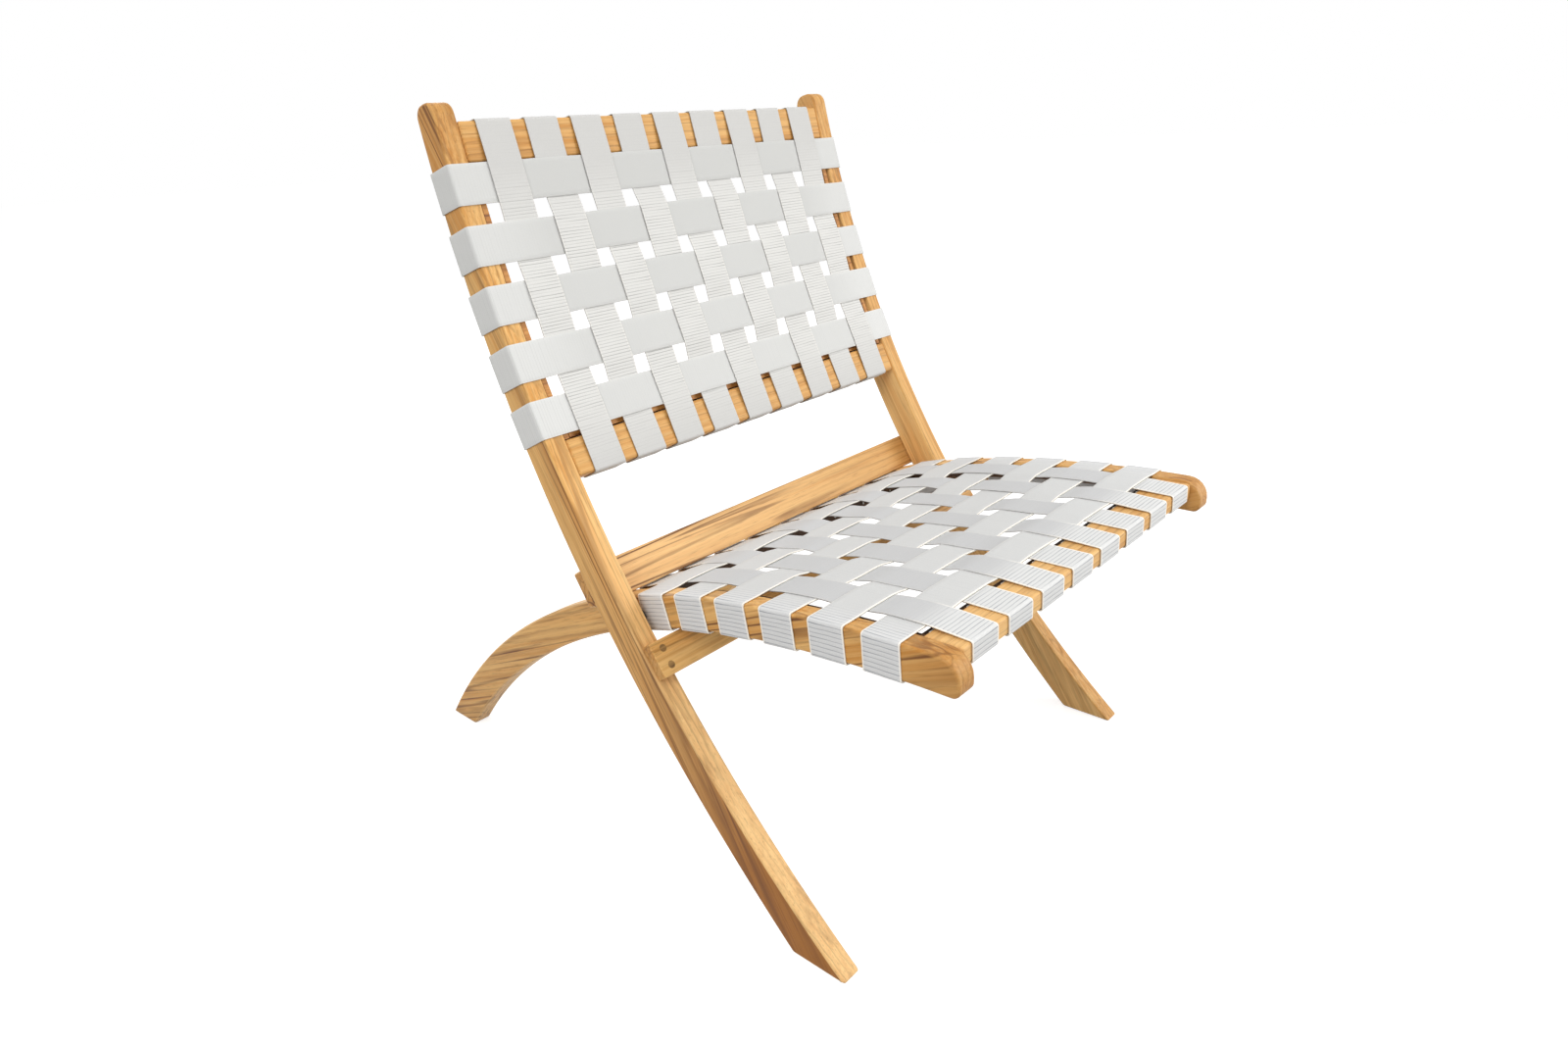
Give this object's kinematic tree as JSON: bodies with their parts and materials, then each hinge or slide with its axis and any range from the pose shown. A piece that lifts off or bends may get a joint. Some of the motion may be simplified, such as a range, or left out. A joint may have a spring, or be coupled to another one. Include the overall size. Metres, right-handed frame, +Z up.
{
  "type": "folding garden chair",
  "caption": "Low folding garden chair: curved wooden back and seat frames cross and turn on side pivots, and flat webbing is woven over both frames.",
  "frame": {"origin": "on the floor under the centre of the open chair's bounding box", "axes": "+X across the chair, to the right as seen from the front; +Y from the front towards the back; +Z up"},
  "size_m": [0.5932, 0.857, 0.8027],
  "materials": {
    "wood": "oiled satin",
    "webbing": "fine ribbed weave",
    "steel": "plain",
    "spacer": "matte",
    "bush": "plain"
  },
  "bodies": {
    "back_frame": {"stile_left": "wood", "stile_right": "wood", "back_top_rail": "wood", "back_bottom_rail": "wood", "back_batten_left": "wood", "back_batten_right": "wood", "back_batten_top": "wood", "back_batten_bottom": "wood", "front_crossbar": "wood", "rear_crossbar": "wood", "crossbar_screws": "steel", "crossbar_plugs": "wood", "back_rail_dowels": "wood", "back_batten_brads": "steel", "pivot_pin_left": "steel", "pivot_pin_right": "steel", "pivot_spacer_left": "spacer", "pivot_spacer_right": "spacer", "back_strap_up_1": "webbing", "back_strap_up_2": "webbing", "back_strap_up_3": "webbing", "back_strap_up_4": "webbing", "back_strap_up_5": "webbing", "back_strap_up_6": "webbing", "back_strap_up_7": "webbing", "back_strap_up_8": "webbing", "back_strap_up_9": "webbing", "back_strap_across_1": "webbing", "back_strap_across_2": "webbing", "back_strap_across_3": "webbing", "back_strap_across_4": "webbing", "back_strap_across_5": "webbing"},
    "seat_frame": {"seat_rail_left": "wood", "seat_rail_right": "wood", "seat_front_rail": "wood", "seat_rear_rail": "wood", "seat_batten_left": "wood", "seat_batten_right": "wood", "seat_batten_front": "wood", "seat_batten_rear": "wood", "pivot_bush_left": "bush", "pivot_bush_right": "bush", "seat_rail_dowels": "wood", "seat_batten_brads": "steel", "seat_strap_long_1": "webbing", "seat_strap_long_2": "webbing", "seat_strap_long_3": "webbing", "seat_strap_long_4": "webbing", "seat_strap_long_5": "webbing", "seat_strap_long_6": "webbing", "seat_strap_long_7": "webbing", "seat_strap_long_8": "webbing", "seat_strap_across_1": "webbing", "seat_strap_across_2": "webbing", "seat_strap_across_3": "webbing", "seat_strap_across_4": "webbing", "seat_strap_across_5": "webbing", "seat_strap_across_6": "webbing"}
  },
  "joints": [
    {"name": "fold_pivot", "type": "hinge", "parent": "back_frame", "child": "seat_frame", "pos_m": [0, -0.04184, 0.29528], "axis": [-1, 0, 0], "range_deg": [0, 88]}
  ]
}
